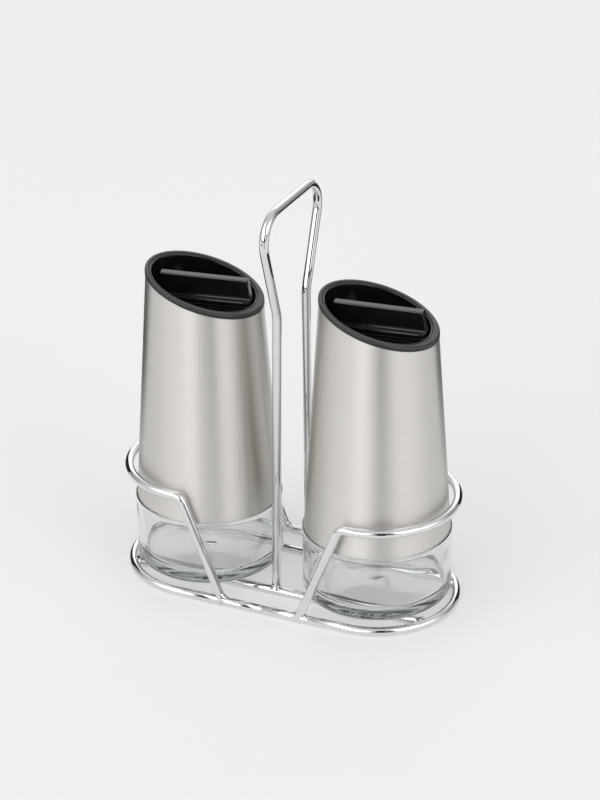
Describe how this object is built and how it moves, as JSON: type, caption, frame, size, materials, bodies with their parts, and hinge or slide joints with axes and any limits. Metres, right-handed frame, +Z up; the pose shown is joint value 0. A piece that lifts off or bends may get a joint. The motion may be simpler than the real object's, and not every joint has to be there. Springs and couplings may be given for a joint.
{
  "type": "cruet set",
  "caption": "Pair of glass-footed cruets in tapered steel sleeves with slanted tops and twist grips, standing in a chromed wire carrier with a tall handle.",
  "frame": {"origin": "middle of the stand on the table plane, at the centre of the bounding box's bottom", "axes": "+X along the stand towards the right-hand cruet, +Y to the back, +Z up"},
  "size_m": [0.1704, 0.0814, 0.201],
  "materials": {
    "chrome_wire": "bright chrome plate on steel wire",
    "clear_glass": "clear pressed glass, faint grey-green at the thick foot",
    "brushed_sleeve": "stainless steel, fine brushing round the sleeve",
    "spacer_plastic": "matt, out of sight inside the sleeve",
    "rim_plastic": "satin dark grey",
    "cup_plastic": "polished black",
    "grip_plastic": "polished black with softer edges",
    "dark_silicone": "matt",
    "pale_silicone": "translucent matt",
    "spring_steel": "plain spring steel"
  },
  "bodies": {
    "stand": {"left_hoop": "chrome_wire", "right_hoop": "chrome_wire", "left_base_wire": "chrome_wire", "right_base_wire": "chrome_wire", "front_rod": "chrome_wire", "rear_rod": "chrome_wire", "handle": "chrome_wire"},
    "left_cruet": {"left_glass_bottle": "clear_glass", "left_sleeve": "brushed_sleeve", "left_spacer_ring": "spacer_plastic"},
    "left_top": {"left_rim": "rim_plastic", "left_cup": "cup_plastic", "left_port_seal": "dark_silicone", "left_neck_seal": "pale_silicone", "left_stopper_seal": "pale_silicone"},
    "left_grip": {"left_twist_grip": "grip_plastic", "left_grip_clip": "spring_steel"},
    "right_cruet": {"right_glass_bottle": "clear_glass", "right_sleeve": "brushed_sleeve", "right_spacer_ring": "spacer_plastic"},
    "right_top": {"right_rim": "rim_plastic", "right_cup": "cup_plastic", "right_port_seal": "dark_silicone", "right_neck_seal": "pale_silicone", "right_stopper_seal": "pale_silicone"},
    "right_grip": {"right_twist_grip": "grip_plastic", "right_grip_clip": "spring_steel"}
  },
  "joints": [
    {"name": "left_cruet_lift", "type": "slide", "parent": "stand", "child": "left_cruet", "axis": [0, 0, 1], "range_m": [0, 0.07]},
    {"name": "left_top_pull", "type": "slide", "parent": "left_cruet", "child": "left_top", "axis": [0, 0, 1], "range_m": [0, 0.03]},
    {"name": "left_grip_turn", "type": "hinge", "parent": "left_top", "child": "left_grip", "pos_m": [-0.0445, 0, 0.13575], "axis": [0, 0, 1], "range_deg": [0, 90]},
    {"name": "right_cruet_lift", "type": "slide", "parent": "stand", "child": "right_cruet", "axis": [0, 0, 1], "range_m": [0, 0.07]},
    {"name": "right_top_pull", "type": "slide", "parent": "right_cruet", "child": "right_top", "axis": [0, 0, 1], "range_m": [0, 0.03]},
    {"name": "right_grip_turn", "type": "hinge", "parent": "right_top", "child": "right_grip", "pos_m": [0.0445, 0, 0.13575], "axis": [0, 0, 1], "range_deg": [0, 90]}
  ]
}
